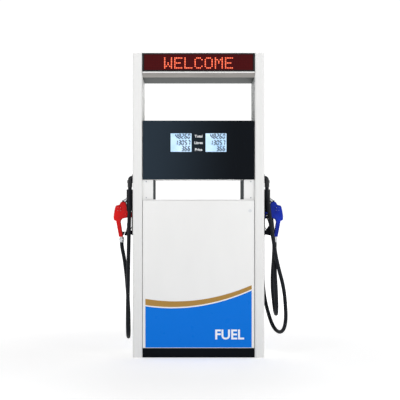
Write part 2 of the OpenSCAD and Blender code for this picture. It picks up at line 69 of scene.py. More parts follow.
def rgb(r, g, b):
    return lin((r / 255.0, g / 255.0, b / 255.0))


class Mat:
    def __init__(self, name, base, rough, metallic=0.0, coat=0.0, spec=0.5, coat_rough=0.05):
        self.m = bpy.data.materials.new(name)
        self.m.use_nodes = True
        self.t = self.m.node_tree
        self.t.nodes.clear()
        self.out = self.n("ShaderNodeOutputMaterial")
        self.p = self.n("ShaderNodeBsdfPrincipled")
        self.t.links.new(self.p.outputs[0], self.out.inputs[0])
        self.p.inputs["Base Color"].default_value = base
        self.p.inputs["Roughness"].default_value = rough
        self.p.inputs["Metallic"].default_value = metallic
        self.p.inputs["Coat Weight"].default_value = coat
        self.p.inputs["Coat Roughness"].default_value = coat_rough
        self.p.inputs["Specular IOR Level"].default_value = spec
        self.base, self.rough = base, rough
        self.tc = self.n("ShaderNodeTexCoord")
        self.height = None
        self.m.diffuse_color = base

    def n(self, kind):
        return self.t.nodes.new(kind)

    def link(self, a, b):
        self.t.links.new(a, b)

    def coords(self, scale=(1, 1, 1)):
        mp = self.n("ShaderNodeMapping")
        mp.inputs["Scale"].default_value = scale
        self.link(self.tc.outputs["Object"], mp.inputs[0])
        return mp.outputs[0]

    def noise(self, scale, detail=4, rough=0.55, stretch=(1, 1, 1)):
        nz = self.n("ShaderNodeTexNoise")
        nz.inputs["Scale"].default_value = scale
        nz.inputs["Detail"].default_value = detail
        nz.inputs["Roughness"].default_value = rough
        self.link(self.coords(stretch), nz.inputs["Vector"])
        return nz.outputs["Fac"]

    def math(self, op, a, b=None, c=None, clamp=False):
        m = self.n("ShaderNodeMath")
        m.operation = op
        m.use_clamp = clamp
        for i, v in enumerate((a, b, c)):
            if v is None:
                continue
            if isinstance(v, (int, float)):
                m.inputs[i].default_value = v
            else:
                self.link(v, m.inputs[i])
        return m.outputs[0]

    def span(self, v, lo, hi, a, b, smooth=False):
        r = self.n("ShaderNodeMapRange")
        r.interpolation_type = "SMOOTHSTEP" if smooth else "LINEAR"
        self.link(v, r.inputs[0])
        for i, x in enumerate((lo, hi, a, b)):
            r.inputs[i + 1].default_value = x
        return r.outputs[0]

    def mix(self, f, a, b):
        m = self.n("ShaderNodeMix")
        m.data_type = "RGBA"
        if isinstance(f, (int, float)):
            m.inputs[0].default_value = f
        else:
            self.link(f, m.inputs[0])
        for i, v in ((6, a), (7, b)):
            if isinstance(v, (list, tuple)):
                m.inputs[i].default_value = v
            else:
                self.link(v, m.inputs[i])
        return m.outputs[2]

    def colour(self, v):
        self.link(v, self.p.inputs["Base Color"])
        return self

    def vary(self, scale, low, high, detail=5, stretch=(1, 1, 1)):
        """Colour variation between two tones."""
        f = self.span(self.noise(scale, detail, stretch=stretch), 0.3, 0.7, 0, 1)
        return self.colour(self.mix(f, low, high))

    def roughen(self, scale, lo, hi, stretch=(1, 1, 1)):
        self.link(self.span(self.noise(scale, 4, stretch=stretch), 0.3, 0.7, lo, hi), self.p.inputs["Roughness"])
        return self

    def bump(self, h, strength=0.2, dist=0.001):
        b = self.n("ShaderNodeBump")
        b.inputs["Strength"].default_value = strength
        b.inputs["Distance"].default_value = dist
        self.link(h, b.inputs["Height"])
        if self.height is not None:
            self.link(self.height, b.inputs["Normal"])
        self.height = b.outputs[0]
        self.link(self.height, self.p.inputs["Normal"])
        return self

    def xyz(self, which="Object"):
        s = self.n("ShaderNodeSeparateXYZ")
        self.link(self.tc.outputs[which], s.inputs[0])
        return s.outputs


def tone(c, k):
    return [min(1.0, x * k) for x in c[:3]] + [1.0]


def paint(name, c, rough=0.35, peel=700, coat=0.25, dirt=0.93, spec=0.5):
    """Powder coat: fine orange peel, faint cloudiness, slightly uneven gloss."""
    m = Mat(name, c, rough, coat=coat, coat_rough=0.12, spec=spec)
    m.vary(2.2, tone(c, dirt), tone(c, 1.03), stretch=(1, 1, 0.35))
    m.roughen(9, rough - 0.05, rough + 0.08)
    m.bump(m.noise(peel, 2), 0.10, 0.0004)
    return m


def metal(name, c, rough, brush=(1, 1, 14), scale=160, bump=0.12):
    m = Mat(name, c, rough, metallic=1.0)
    m.vary(scale, tone(c, 0.86), tone(c, 1.06), stretch=brush)
    m.roughen(scale * 0.7, rough - 0.08, rough + 0.12, stretch=brush)
    m.bump(m.noise(scale * 2, 3, stretch=brush), bump, 0.0004)
    return m


def casting(name, c, rough=0.55):
    m = Mat(name, c, rough, coat=0.1, coat_rough=0.3)
    m.vary(14, tone(c, 0.75), tone(c, 1.12))
    m.bump(m.noise(260, 4), 0.35, 0.0008)
    m.bump(m.noise(35, 3), 0.12, 0.0015)
    return m


def moulded(name, c, rough=0.45, grain=900, strength=0.25):
    m = Mat(name, c, rough)
    m.vary(30, tone(c, 0.85), tone(c, 1.15))
    v = m.n("ShaderNodeTexVoronoi")
    v.inputs["Scale"].default_value = grain
    m.link(m.coords(), v.inputs["Vector"])
    m.bump(v.outputs["Distance"], strength, 0.0003)
    return m


# ------------------------------------------------------------------ materials
WHITE = rgb(231, 231, 230)
white = paint("white_paint", WHITE, 0.42, coat=0.08, dirt=0.965, spec=0.35)
black_paint = paint("black_paint", rgb(6, 10, 17), 0.45, peel=500, coat=0.0, dirt=0.7, spec=0.06)
plastic = moulded("black_plastic", rgb(13, 14, 17), 0.5)
plastic.p.inputs["Specular IOR Level"].default_value = 0.3
circuit = Mat("circuit_board", rgb(28, 92, 48), 0.4, coat=0.3)
_t = circuit.n("ShaderNodeTexBrick")
_t.inputs["Scale"].default_value = 45
_t.inputs["Color1"].default_value = rgb(26, 88, 46)
_t.inputs["Color2"].default_value = rgb(34, 104, 56)
_t.inputs["Mortar"].default_value = rgb(150, 140, 80)
_t.inputs["Mortar Size"].default_value = 0.02
circuit.link(circuit.coords((1, 1, 1)), _t.inputs["Vector"])
circuit.colour(_t.outputs["Color"])
zinc = metal("zinc_steel", rgb(170, 173, 178), 0.36, brush=(1, 1, 1), scale=60)
chrome = metal("lock_chrome", rgb(222, 224, 226), 0.34, brush=(6, 1, 1), scale=200, bump=0.05)
chrome.p.inputs["Metallic"].default_value = 0.55
motor_mat = paint("motor_paint", rgb(86, 104, 118), 0.42, peel=300, dirt=0.8)
cast_mat = casting("cast_paint", rgb(92, 95, 99))
alloy = metal("meter_alloy", rgb(196, 198, 201), 0.34, brush=(1, 1, 1), scale=300)
brass = metal("valve_brass", rgb(186, 152, 84), 0.3, brush=(1, 8, 1), scale=120)
pulser = moulded("pulser_plastic", rgb(44, 47, 51))
fitting = paint("black_fitting", rgb(15, 18, 24), 0.4, peel=400, dirt=0.8, coat=0.05, spec=0.35)
belt_mat = moulded("belt_rubber", rgb(24, 24, 25), 0.7, 500, 0.4)

# hose rubber: dark, blue-black sheen, fine cloth-wrap ribs and scuffs
hose_mat = Mat("hose_rubber", rgb(8, 12, 19), 0.42, spec=0.16)
hose_mat.vary(26, rgb(5, 8, 14), rgb(12, 18, 27), detail=8)
hose_mat.roughen(60, 0.34, 0.55)
hose_mat.bump(hose_mat.noise(900, 3), 0.25, 0.0003)
hose_mat.bump(hose_mat.noise(70, 4), 0.15, 0.0008)


def vinyl(name, c, deep):
    """Thick dipped vinyl: glossy, mottled, slightly lumpy."""
    m = Mat(name, c, 0.34, coat=0.06, coat_rough=0.2, spec=0.14)
    m.vary(18, deep, c, detail=6)
    m.roughen(40, 0.28, 0.46)
    m.bump(m.noise(95, 3), 0.18, 0.0009)
    m.bump(m.noise(800, 2), 0.12, 0.0003)
    return m


red = vinyl("nozzle_red", rgb(220, 8, 8), rgb(188, 3, 6))
blue = vinyl("nozzle_blue", rgb(2, 44, 176), rgb(1, 28, 138))

# black back-printed glass; a painted reflection makes the colour fade from slate at one side to black across the panel
glass = Mat("black_glass", rgb(13, 18, 25), 0.06, spec=0.05, coat=0.08, coat_rough=0.03)
_bx, _by, _bz = glass.xyz()
_side = glass.math("MULTIPLY", _bx, glass.math("SIGN", glass.math("MULTIPLY", _by, -1.0)))
# painted reflection: slate at one side of the panel, black at the other
_painted_reflection_fade = glass.span(_side, -0.38, 0.30, 0, 1, True)
_cloud = glass.span(glass.noise(1.3, 2), 0.3, 0.7, 0, 1)
glass.colour(glass.mix(_painted_reflection_fade, glass.mix(_cloud, rgb(30, 41, 51), rgb(35, 47, 58)),
                       glass.mix(_cloud, rgb(1, 5, 12), rgb(2, 8, 16))))
glass.roughen(6, 0.04, 0.10)
glass.bump(glass.noise(3.0, 2), 0.03, 0.002)

# dark red acrylic over an unlit dot matrix
acr = Mat("red_acrylic", rgb(66, 8, 11), 0.25, coat=0.02, coat_rough=0.08, spec=0.07)
_x, _y, _z = acr.xyz()
_gx = acr.math("SINE", acr.math("MULTIPLY", _x, 2 * math.pi / 0.0122))
_gz = acr.math("SINE", acr.math("MULTIPLY", _z, 2 * math.pi / 0.0122))
_dots = acr.span(acr.math("MULTIPLY", acr.math("ADD", _gx, 1), acr.math("ADD", _gz, 1)), 2.2, 3.6, 0, 1, True)
acr.colour(acr.mix(_dots, acr.mix(acr.span(acr.noise(3), 0.3, 0.7, 0, 1), rgb(60, 4, 8), rgb(70, 8, 11)), rgb(84, 12, 13)))

# sign housing: white coat, with painted shade picked by the surface normal: a streaky grey on the downward-sloping lip
# and near black on the underside
housing = Mat("sign_housing_paint_and_painted_shade", WHITE, 0.5, coat=0.0, spec=0.12)
_n = housing.xyz("Normal")
# painted shade: downward faces go grey, faces pointing straight down go near black
_lip_painted_shade = housing.span(_n[2], -0.25, -0.32, 0, 1)
_underside_painted_shade = housing.span(_n[2], -0.93, -0.97, 0, 1)
_g = housing.span(housing.noise(55, 3, stretch=(0.06, 1, 1)), 0.3, 0.7, 0, 1)
housing.colour(housing.mix(_underside_painted_shade, housing.mix(_lip_painted_shade, WHITE, housing.mix(_g, rgb(134, 131, 128), rgb(146, 143, 139))),
                           housing.mix(_g, rgb(24, 34, 30), rgb(34, 45, 40))))
housing.bump(housing.noise(500, 2, stretch=(0.1, 1, 1)), 0.12, 0.0004)

# readout: light blue backlight, with a faint cloudy variation
lcd = Mat("readout", rgb(176, 210, 240), 0.2, coat=0.8, coat_rough=0.04)
_f = lcd.span(lcd.noise(9, 3), 0.3, 0.7, 0, 1)
_c = lcd.mix(_f, rgb(158, 196, 232), rgb(190, 218, 244))
lcd.colour(_c)
lcd.link(_c, lcd.p.inputs["Emission Color"])
lcd.p.inputs["Emission Strength"].default_value = 0.32
seg_mat = Mat("readout_segments", rgb(9, 13, 28), 0.5, spec=0.06)
seg_mat.vary(200, rgb(6, 9, 22), rgb(14, 19, 38))
led = Mat("led_lit", rgb(226, 92, 58), 0.3)
_e = led.mix(led.span(led.noise(130, 2), 0.3, 0.7, 0, 1), rgb(235, 84, 50), rgb(250, 120, 84))
led.colour(_e)
led.link(_e, led.p.inputs["Emission Color"])
led.p.inputs["Emission Strength"].default_value = 0.75
ink = Mat("white_print", rgb(236, 240, 244), 0.35)
ink.vary(300, rgb(226, 230, 236), rgb(244, 247, 250))


def film(name, c):
    """Printed vinyl film: even colour with a fine print grain and a satin laminate."""
    m = Mat(name, c, 0.38, coat=0.02, coat_rough=0.12, spec=0.08)
    m.vary(700, tone(c, 0.96), tone(c, 1.04), detail=2)
    m.roughen(14, 0.26, 0.36)
    m.bump(m.noise(420, 2), 0.05, 0.0002)
    return m


film_blue = film("film_blue", rgb(0, 112, 214))
film_gold = film("film_gold", rgb(168, 130, 67))
film_white = film("film_white", rgb(240, 240, 240))
seal = moulded("seal_rubber", rgb(30, 32, 35), 0.7, 600, 0.2)
# painted shade: dark grey for the shaded inner sides of the neck posts
painted_shade_grey = paint("neck_post_shade_grey", rgb(60, 66, 69), 0.6, dirt=0.9, coat=0.0, spec=0.02)

# columns: matt white coat, with painted shade on the faces that look at each other, darker grey on the right column
# than on the left
column = Mat("column_paint", WHITE, 0.55, coat=0.0, spec=0.06)
_cx = column.xyz()[0]
_inner_r_painted_shade = column.math("MULTIPLY", column.math("GREATER_THAN", _cx, 0.4), column.math("LESS_THAN", _cx, 0.4056))
_inner_l_painted_shade = column.math("MULTIPLY", column.math("LESS_THAN", _cx, -0.4), column.math("GREATER_THAN", _cx, -0.4056))
_cv = column.span(column.noise(2.2, 5, stretch=(1, 1, 0.35)), 0.3, 0.7, 0, 1)
_cw = column.mix(_cv, tone(WHITE, 0.92), tone(WHITE, 0.97))
# painted shade on the inner faces: mid grey on the right column, light grey on the left
column.colour(column.mix(_inner_l_painted_shade, column.mix(_inner_r_painted_shade, _cw, rgb(150, 153, 152)), rgb(205, 206, 203)))
column.roughen(9, 0.5, 0.62)
column.bump(column.noise(700, 2), 0.10, 0.0004)


# ------------------------------------------------------------------ mesh helpers
def add(name, bm, mat, body, smooth=None):
    me = bpy.data.meshes.new(name)
    bmesh.ops.recalc_face_normals(bm, faces=bm.faces)
    bm.to_mesh(me)
    bm.free()
    o = bpy.data.objects.new(name, me)
    scene.collection.objects.link(o)
    me.materials.append(mat.m)
    if smooth is not None:
        me.shade_smooth()
        me.set_sharp_from_angle(angle=math.radians(smooth))
    if body:
        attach(o, body)
    return o


def bevel(o, width, seg=2, angle=30):
    m = o.modifiers.new("bevel", "BEVEL")
    m.width, m.segments, m.limit_method, m.angle_limit = width, seg, "ANGLE", math.radians(angle)
    m.harden_normals = False
    return o


def prism(bm, pts, y0, y1, swap=None):
    """Outline of (x, z) in metres, from y0 to y1; swap maps a point to another place."""
    swap = swap or (lambda x, y, z: (x, y, z))
    a = [bm.verts.new(swap(x, y0, z)) for x, z in pts]
    b = [bm.verts.new(swap(x, y1, z)) for x, z in pts]
    bm.faces.new(a)
    bm.faces.new(b[::-1])
    n = len(pts)
    for i in range(n):
        bm.faces.new((a[i], b[i], b[(i + 1) % n], a[(i + 1) % n]))


def rear(x, y, z):
    return (-x, -y, z)


def front(x, y, z):
    return (x, y, z)


def lathe(bm, prof, at, axis=(0, 0, 1), seg=40):
    """(r, h) profile turned about an axis through at; closed where r is 0."""
    axis = Vector(axis).normalized()
    q = axis.to_track_quat("Z", "Y").to_matrix()
    rings = []
    for r, h in prof:
        if r < 1e-7:
            rings.append([bm.verts.new(Vector(at) + q @ Vector((0, 0, h)))])
        else:
            rings.append([bm.verts.new(Vector(at) + q @ Vector((r * math.cos(2 * math.pi * k / seg), r * math.sin(2 * math.pi * k / seg), h))) for k in range(seg)])
    for a, b in zip(rings, rings[1:]):
        for k in range(seg):
            j = (k + 1) % seg
            if len(a) == 1 and len(b) == 1:
                continue
            if len(a) == 1:
                bm.faces.new((a[0], b[k], b[j]))
            elif len(b) == 1:
                bm.faces.new((a[k], b[0], a[j]))
            else:
                bm.faces.new((a[k], b[k], b[j], a[j]))


def sweep(bm, line, radii, seg=20, squash=None, cap=True):
    """Tube along points; radii is one number or one for each point. squash is (width, height) shares."""
    rings, prev = [], None
    n = len(line)
    for i, p in enumerate(line):
        t = (Vector(line[min(i + 1, n - 1)]) - Vector(line[max(i - 1, 0)])).normalized()
        if prev is None:
            ref = Vector((0, 1, 0)) if abs(t.y) < 0.8 else Vector((1, 0, 0))
            u = t.cross(ref).normalized()
        else:
            u = (prev - t * prev.dot(t)).normalized()
        prev = u
        v = t.cross(u)
        r = radii[i] if isinstance(radii, (list, tuple)) else radii
        w, h = squash or (1, 1)
        rings.append([bm.verts.new(Vector(p) + u * (r * w * math.cos(2 * math.pi * k / seg)) + v * (r * h * math.sin(2 * math.pi * k / seg))) for k in range(seg)])
    for a, b in zip(rings, rings[1:]):
        for k in range(seg):
            j = (k + 1) % seg
            bm.faces.new((a[k], b[k], b[j], a[j]))
    if cap:
        bm.faces.new(rings[0][::-1])
        bm.faces.new(rings[-1])
    return rings


def spline(p, i, t):
    n = len(p) - 1
    a, b, c, d = (Vector(p[max(i - 1, 0)]), Vector(p[i]), Vector(p[min(i + 1, n)]), Vector(p[min(i + 2, n)]))
    return 0.5 * (2 * b + (c - a) * t + (2 * a - 5 * b + 4 * c - d) * t * t + (3 * b - a - 3 * c + d) * t * t * t)


def text_mesh(name, words, size, at, body, mat, depth=0.0004, align="CENTER", turn=0.0, bold=0.0, shear=0.0):
    cu = bpy.data.curves.new(name + "_c", "FONT")
    cu.body, cu.size, cu.align_x, cu.align_y = words, size, align, "CENTER"
    cu.extrude, cu.offset, cu.shear, cu.resolution_u = depth / 2, bold, shear, 3
    tmp = bpy.data.objects.new(name + "_t", cu)
    scene.collection.objects.link(tmp)
    bpy.context.view_layer.update()
    me = bpy.data.meshes.new_from_object(tmp.evaluated_get(bpy.context.evaluated_depsgraph_get()))
    bpy.data.objects.remove(tmp)
    bpy.data.curves.remove(cu)
    bm = bmesh.new()
    bm.from_mesh(me)
    bpy.data.meshes.remove(me)
    bmesh.ops.remove_doubles(bm, verts=bm.verts, dist=1e-6)
    m = Matrix.Translation(at) @ Matrix.Rotation(turn, 4, "Z") @ Matrix.Rotation(math.pi / 2, 4, "X")
    bmesh.ops.transform(bm, matrix=m, verts=bm.verts)
    return add(name, bm, mat, body)


# ------------------------------------------------------------------ hoses
LEFT = [[499, -130, 1262], [500, -130, 1180], [503, -131, 1050],
    [507, -136, 850], [510, -148, 650], [511, -168, 480], [512, -182, 370],
    [512, -186, 300], [512, -185, 252], [512, -176, 206], [512, -151, 168],
    [512, -113, 143], [513, -70, 135], [514, -27, 143], [515, 11, 168],
    [517, 36, 206], [518, 46, 252], [519, 48, 310], [522, 42, 380],
    [526, 20, 475], [533, -14, 590], [545, -42, 700], [558, -58, 775],
    [563, -60, 812], [563, -60, 827]]
RIGHT = [[499, -130, 1262], [500, -130, 1200], [507, -130, 1130],
    [517, -130, 1050], [527, -130, 970], [539, -129, 890], [552, -128, 810],
    [569, -124, 710], [591, -115, 620], [614, -102, 535], [631, -86, 445],
    [640, -72, 350], [643, -65, 292], [641, -53, 239], [634, -30, 196],
    [622, 3, 167], [605, 43, 155], [585, 85, 163], [565, 119, 189],
    [548, 143, 230], [533, 160, 280], [519, 176, 335], [507, 192, 400],
    [499, 206, 465], [494, 214, 530], [493, 216, 620], [493, 216, 740],
    [493, 216, 870], [493, 216.6, 956], [494, 216.6, 1000], [497, 208.2, 1043.2],
    [501, 183.2, 1079.2], [508, 146.9, 1103.5], [516, 104, 1112], [524, 61.1, 1103.5],
    [532, 24.8, 1079.2], [538, -0.2, 1043.2], [543, -8.6, 1000], [547, -8.6, 956],
    [553, -7, 900], [562, 2, 800], [560, 20, 700], [555, 46, 600],
    [556, 78, 510], [560, 99, 450], [564, 104, 410], [568, 95, 366],
    [571, 71, 329], [573, 34, 304], [574, -9, 295], [574, -53, 304],
    [572, -89, 329], [571, -114, 366], [569, -123, 410], [567, -122, 460],
    [564, -116, 520], [561, -101, 600], [560, -82, 700], [562, -66, 775],
    [563, -60, 812], [563, -60, 827]]
HOSE_D = 0.028


def hose(name, pts, side):
    p = [(side * x / 1000, y / 1000, z / 1000) for x, y, z in pts]
    line = [spline(p, i, j / 8) for i in range(len(p) - 1) for j in range(8)] + [Vector(p[-1])]
    # even steps, so the skin has even faces
    along = [0.0]
    for a, b in zip(line, line[1:]):
        along.append(along[-1] + (b - a).length)
    total, count = along[-1], int(along[-1] / 0.012)
    even, k = [], 0
    for i in range(count + 1):
        d = total * i / count
        while k < len(along) - 2 and along[k + 1] < d:
            k += 1
        even.append(line[k].lerp(line[k + 1], (d - along[k]) / max(along[k + 1] - along[k], 1e-9)))
    bm = bmesh.new()
    rings = sweep(bm, even, HOSE_D / 2, seg=24)
    bm.verts.ensure_lookup_table()
    bm.verts.index_update()
    ring_of = {}
    for i, ring in enumerate(rings):
        for v in ring:
            ring_of[v.index] = i
    o = add(name, bm, hose_mat, None, smooth=50)
    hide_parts(name)
    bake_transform(o)
    # distance along the hose for each vertex; the value is not used
    for v in range(len(o.data.vertices)):
        d = total * ring_of[v] / count
    return total


left_len = hose("left_hose", LEFT, -1)
right_len = hose("right_hose", RIGHT, 1)
print("hose lengths", round(left_len, 3), round(right_len, 3))

# ------------------------------------------------------------------ CAD nodes
SLOTS = {"white_paint": white, "black_paint": black_paint, "black_plastic": plastic,
    "red_acrylic": acr, "black_glass": glass, "readout": lcd, "circuit_board": circuit,
    "zinc_steel": zinc, "lock_chrome": chrome, "motor_paint": motor_mat, "cast_paint": cast_mat,
    "meter_alloy": alloy, "valve_brass": brass, "pulser_plastic": pulser, "black_fitting": fitting,
    "belt_rubber": belt_mat, "hose_rubber": hose_mat, "nozzle_red": red, "nozzle_blue": blue}
for part in frame["record"]["subparts"]:
    o = bpy.data.objects.get(part["node"]) if not hasattr(N, "get") else (N.get(part["node"]) or bpy.data.objects.get(part["node"]))
    if isinstance(o, str):
        o = bpy.data.objects[o]
    if o is None or o.type != "MESH":
        continue
    mat = SLOTS[part["material_slot"]]
    if part["node"] == "sign_housing":
        mat = housing
    if part["node"] in ("left_column", "right_column"):
        mat = column
    if not o.material_slots:
        o.data.materials.append(mat.m)
    for s in o.material_slots:
        s.material = mat.m

# ------------------------------------------------------------------ livery films
def edge(x):
    """Top of the blue field: one plain arc across the door."""
    return 356 + 0.00046 * (x + 190) ** 2 / 1.18


def strip(name, top, bottom, x0, x1, y, mat, where, body, n=64):
    bm = bmesh.new()
    t = 0.0003
    rows = []
    for i in range(n + 1):
        x = x0 + (x1 - x0) * i / n
        zt, zb = (f(x) for f in (top, bottom))
        zt = max(zt, zb + 0.02)
        rows.append([bm.verts.new(where(x / 1000, yy, z / 1000)) for yy, z in ((y, zt), (y, zb), (y + t, zb), (y + t, zt))])
    for a, b in zip(rows, rows[1:]):
        for k in range(4):
            j = (k + 1) % 4
            bm.faces.new((a[k], a[j], b[j], b[k]))
    bm.faces.new(rows[0][::-1])
    bm.faces.new(rows[-1])
    o = add(name, bm, mat, body)
    return o


FACE = -0.198
for tag, where, body, turn in (("front", front, "front_door_body", 0.0), ("rear", rear, "rear_door_body", math.pi)):
    strip(tag + "_film_blue", edge, lambda x: 72, -384, 384, FACE - 0.0004, film_blue, where, body)
    strip(tag + "_film_gold", lambda x: edge(x) + 54 - 0.02 * (x + 384), lambda x: edge(x) + 9, -384, 384, FACE - 0.0004, film_gold, where, body)
    s = 1 if tag == "front" else -1
    o = text_mesh(tag + "_word", "FUEL", 0.098, (s * 0.222, s * (FACE - 0.0007), 0.163), body, ink, 0.0006, turn=turn, bold=0.0022)

# ------------------------------------------------------------------ lit sign
FONT = {"W": ["10001", "10001", "10001", "10101", "10101", "11011", "10001"],
    "E": ["11111", "10000", "10000", "11110", "10000", "10000", "11111"],
    "L": ["10000", "10000", "10000", "10000", "10000", "10000", "11111"],
    "C": ["01110", "10001", "10000", "10000", "10000", "10001", "01110"],
    "O": ["01110", "10001", "10001", "10001", "10001", "10001", "01110"],
    "M": ["10001", "11011", "10101", "10101", "10001", "10001", "10001"]}
PITCH = 0.0122
for tag, where in (("front", front), ("rear", rear)):
    bm = bmesh.new()
    word = "WELCOME"
    cols = len(word) * 6 - 1
    for i, ch in enumerate(word):
        for r, row in enumerate(FONT[ch]):
            for c, bit in enumerate(row):
                if bit == "1":
                    x = (i * 6 + c - (cols - 1) / 2) * PITCH
                    z = 2.1275 - (r - 3) * PITCH * 0.98
                    at = Vector(where(x, -0.2, z))
                    out = Vector(where(0, -1, 0))
                    lathe(bm, [(0.0050, -0.0002), (0.0050, 0.0006), (0.0038, 0.0014), (0, 0.0018)], at, out, seg=10)
    o = add(tag + "_sign_dots", bm, led, "root", smooth=60)

# ------------------------------------------------------------------ readouts
SEG = {"0": "abcdef", "1": "bc", "2": "abged", "3": "abgcd", "4": "fgbc", "5": "afgcd",
    "6": "afgcde", "7": "abc", "8": "abcdefg", "9": "abcdfg"}


def digit(bm, ch, x, z, w, h, where, y):
    """Seven sloping bars in a w by h cell whose lower left corner is (x, z)."""
    t, g, slope = h * 0.172, h * 0.012, 0.14

    def bar(x0, z0, x1, z1):
        dx, dz = x1 - x0, z1 - z0
        L = math.hypot(dx, dz)
        ux, uz = dx / L, dz / L
        pts = []
        for a, b in ((g, 0), (t / 2 + g, t / 2), (L - t / 2 - g, t / 2), (L - g, 0), (L - t / 2 - g, -t / 2), (t / 2 + g, -t / 2)):
            px, pz = x0 + ux * a - uz * b, z0 + uz * a + ux * b
            pts.append((px + (pz - z) * slope, pz))
        prism(bm, pts, y, y + 0.0003, where)

    xl, xr, zb, zm, zt = x + t / 2, x + w - t / 2, z + t / 2, z + h / 2, z + h - t / 2
    lines = {"a": (xl, zt, xr, zt), "b": (xr, zt, xr, zm), "c": (xr, zm, xr, zb), "d": (xl, zb, xr, zb),
             "e": (xl, zm, xl, zb), "f": (xl, zt, xl, zm), "g": (xl, zm, xr, zm)}
    for s in SEG[ch]:
        bar(*lines[s])


LCD_Y = -0.207 + 0.0008
for tag, where, body, turn, s in (("front", front, "front_display_body", 0.0, 1), ("rear", rear, "rear_display_body", math.pi, -1)):
    bm = bmesh.new()
    for cx in (-0.126, 0.126):
        for words, z in (("48260", 1.5785), ("13057", 1.5325), ("366", 1.4895)):
            h, w = 0.0385, 0.0195
            for k, ch in enumerate(reversed(words)):
                digit(bm, ch, cx + 0.066 - 0.0225 * (k + 1) + 0.001, z, w, h, where, LCD_Y - 0.0004)
            # decimal point
            px = cx + 0.066 - 0.0225 * 2 - 0.0035
            prism(bm, [(px, z), (px + 0.0034, z), (px + 0.0034, z + 0.0034), (px, z + 0.0034)], LCD_Y - 0.0004, LCD_Y - 0.0001, where)
    o = add(tag + "_readout_digits", bm, seg_mat, body)
    for words, z in (("Total", 1.597), ("Litres", 1.55), ("Price", 1.501)):
        o = text_mesh(tag + "_label_" + words, words, 0.0265, (0, s * (-0.2072), z), body, ink, 0.0004, turn=turn, bold=0.0005)
    # thin frames round the readouts, behind the glass edge
    bm = bmesh.new()
    for cx in (-0.126, 0.126):
        for x0, x1, z0, z1 in ((-0.0775, 0.0775, 0.0665, 0.0685), (-0.0775, 0.0775, -0.0685, -0.0665), (-0.0775, -0.0755, -0.0665, 0.0665), (0.0755, 0.0775, -0.0665, 0.0665)):
            prism(bm, [(cx + x0, 1.552 + z0), (cx + x1, 1.552 + z0), (cx + x1, 1.552 + z1), (cx + x0, 1.552 + z1)], -0.2072, -0.2064, where)
    o = add(tag + "_readout_frames", bm, plastic, body)

# ------------------------------------------------------------------ nozzles
BODY = [(0.5290, 1.1120), (0.5330, 1.1210), (0.5410, 1.1268), (0.5510, 1.1278), (0.5610, 1.1262), (0.5700, 1.1215), (0.5745, 1.1130), (0.5785, 1.1050),
    (0.5860, 1.1015), (0.6000, 1.0985), (0.6065, 1.0945), (0.6110, 1.0840), (0.6165, 1.0600), (0.6210, 1.0320),
    (0.6228, 1.0090), (0.6215, 0.9930), (0.6150, 0.9868), (0.6045, 0.9840), (0.5830, 0.8680),
    (0.5530, 0.8680), (0.5700, 0.9760), (0.5665, 0.9900), (0.5590, 0.9985), (0.5480, 1.0030), (0.5340, 1.0055),
    (0.5200, 1.0090), (0.5200, 1.0375), (0.4930, 1.0375), (0.4930, 1.0100), (0.4845, 1.0110), (0.4840, 1.0480), (0.4900, 1.0500), (0.5190, 1.0540), (0.5205, 1.0700), (0.5235, 1.0920)]


def side_point(side):
    return lambda x, y, z: (side * x, y, z)


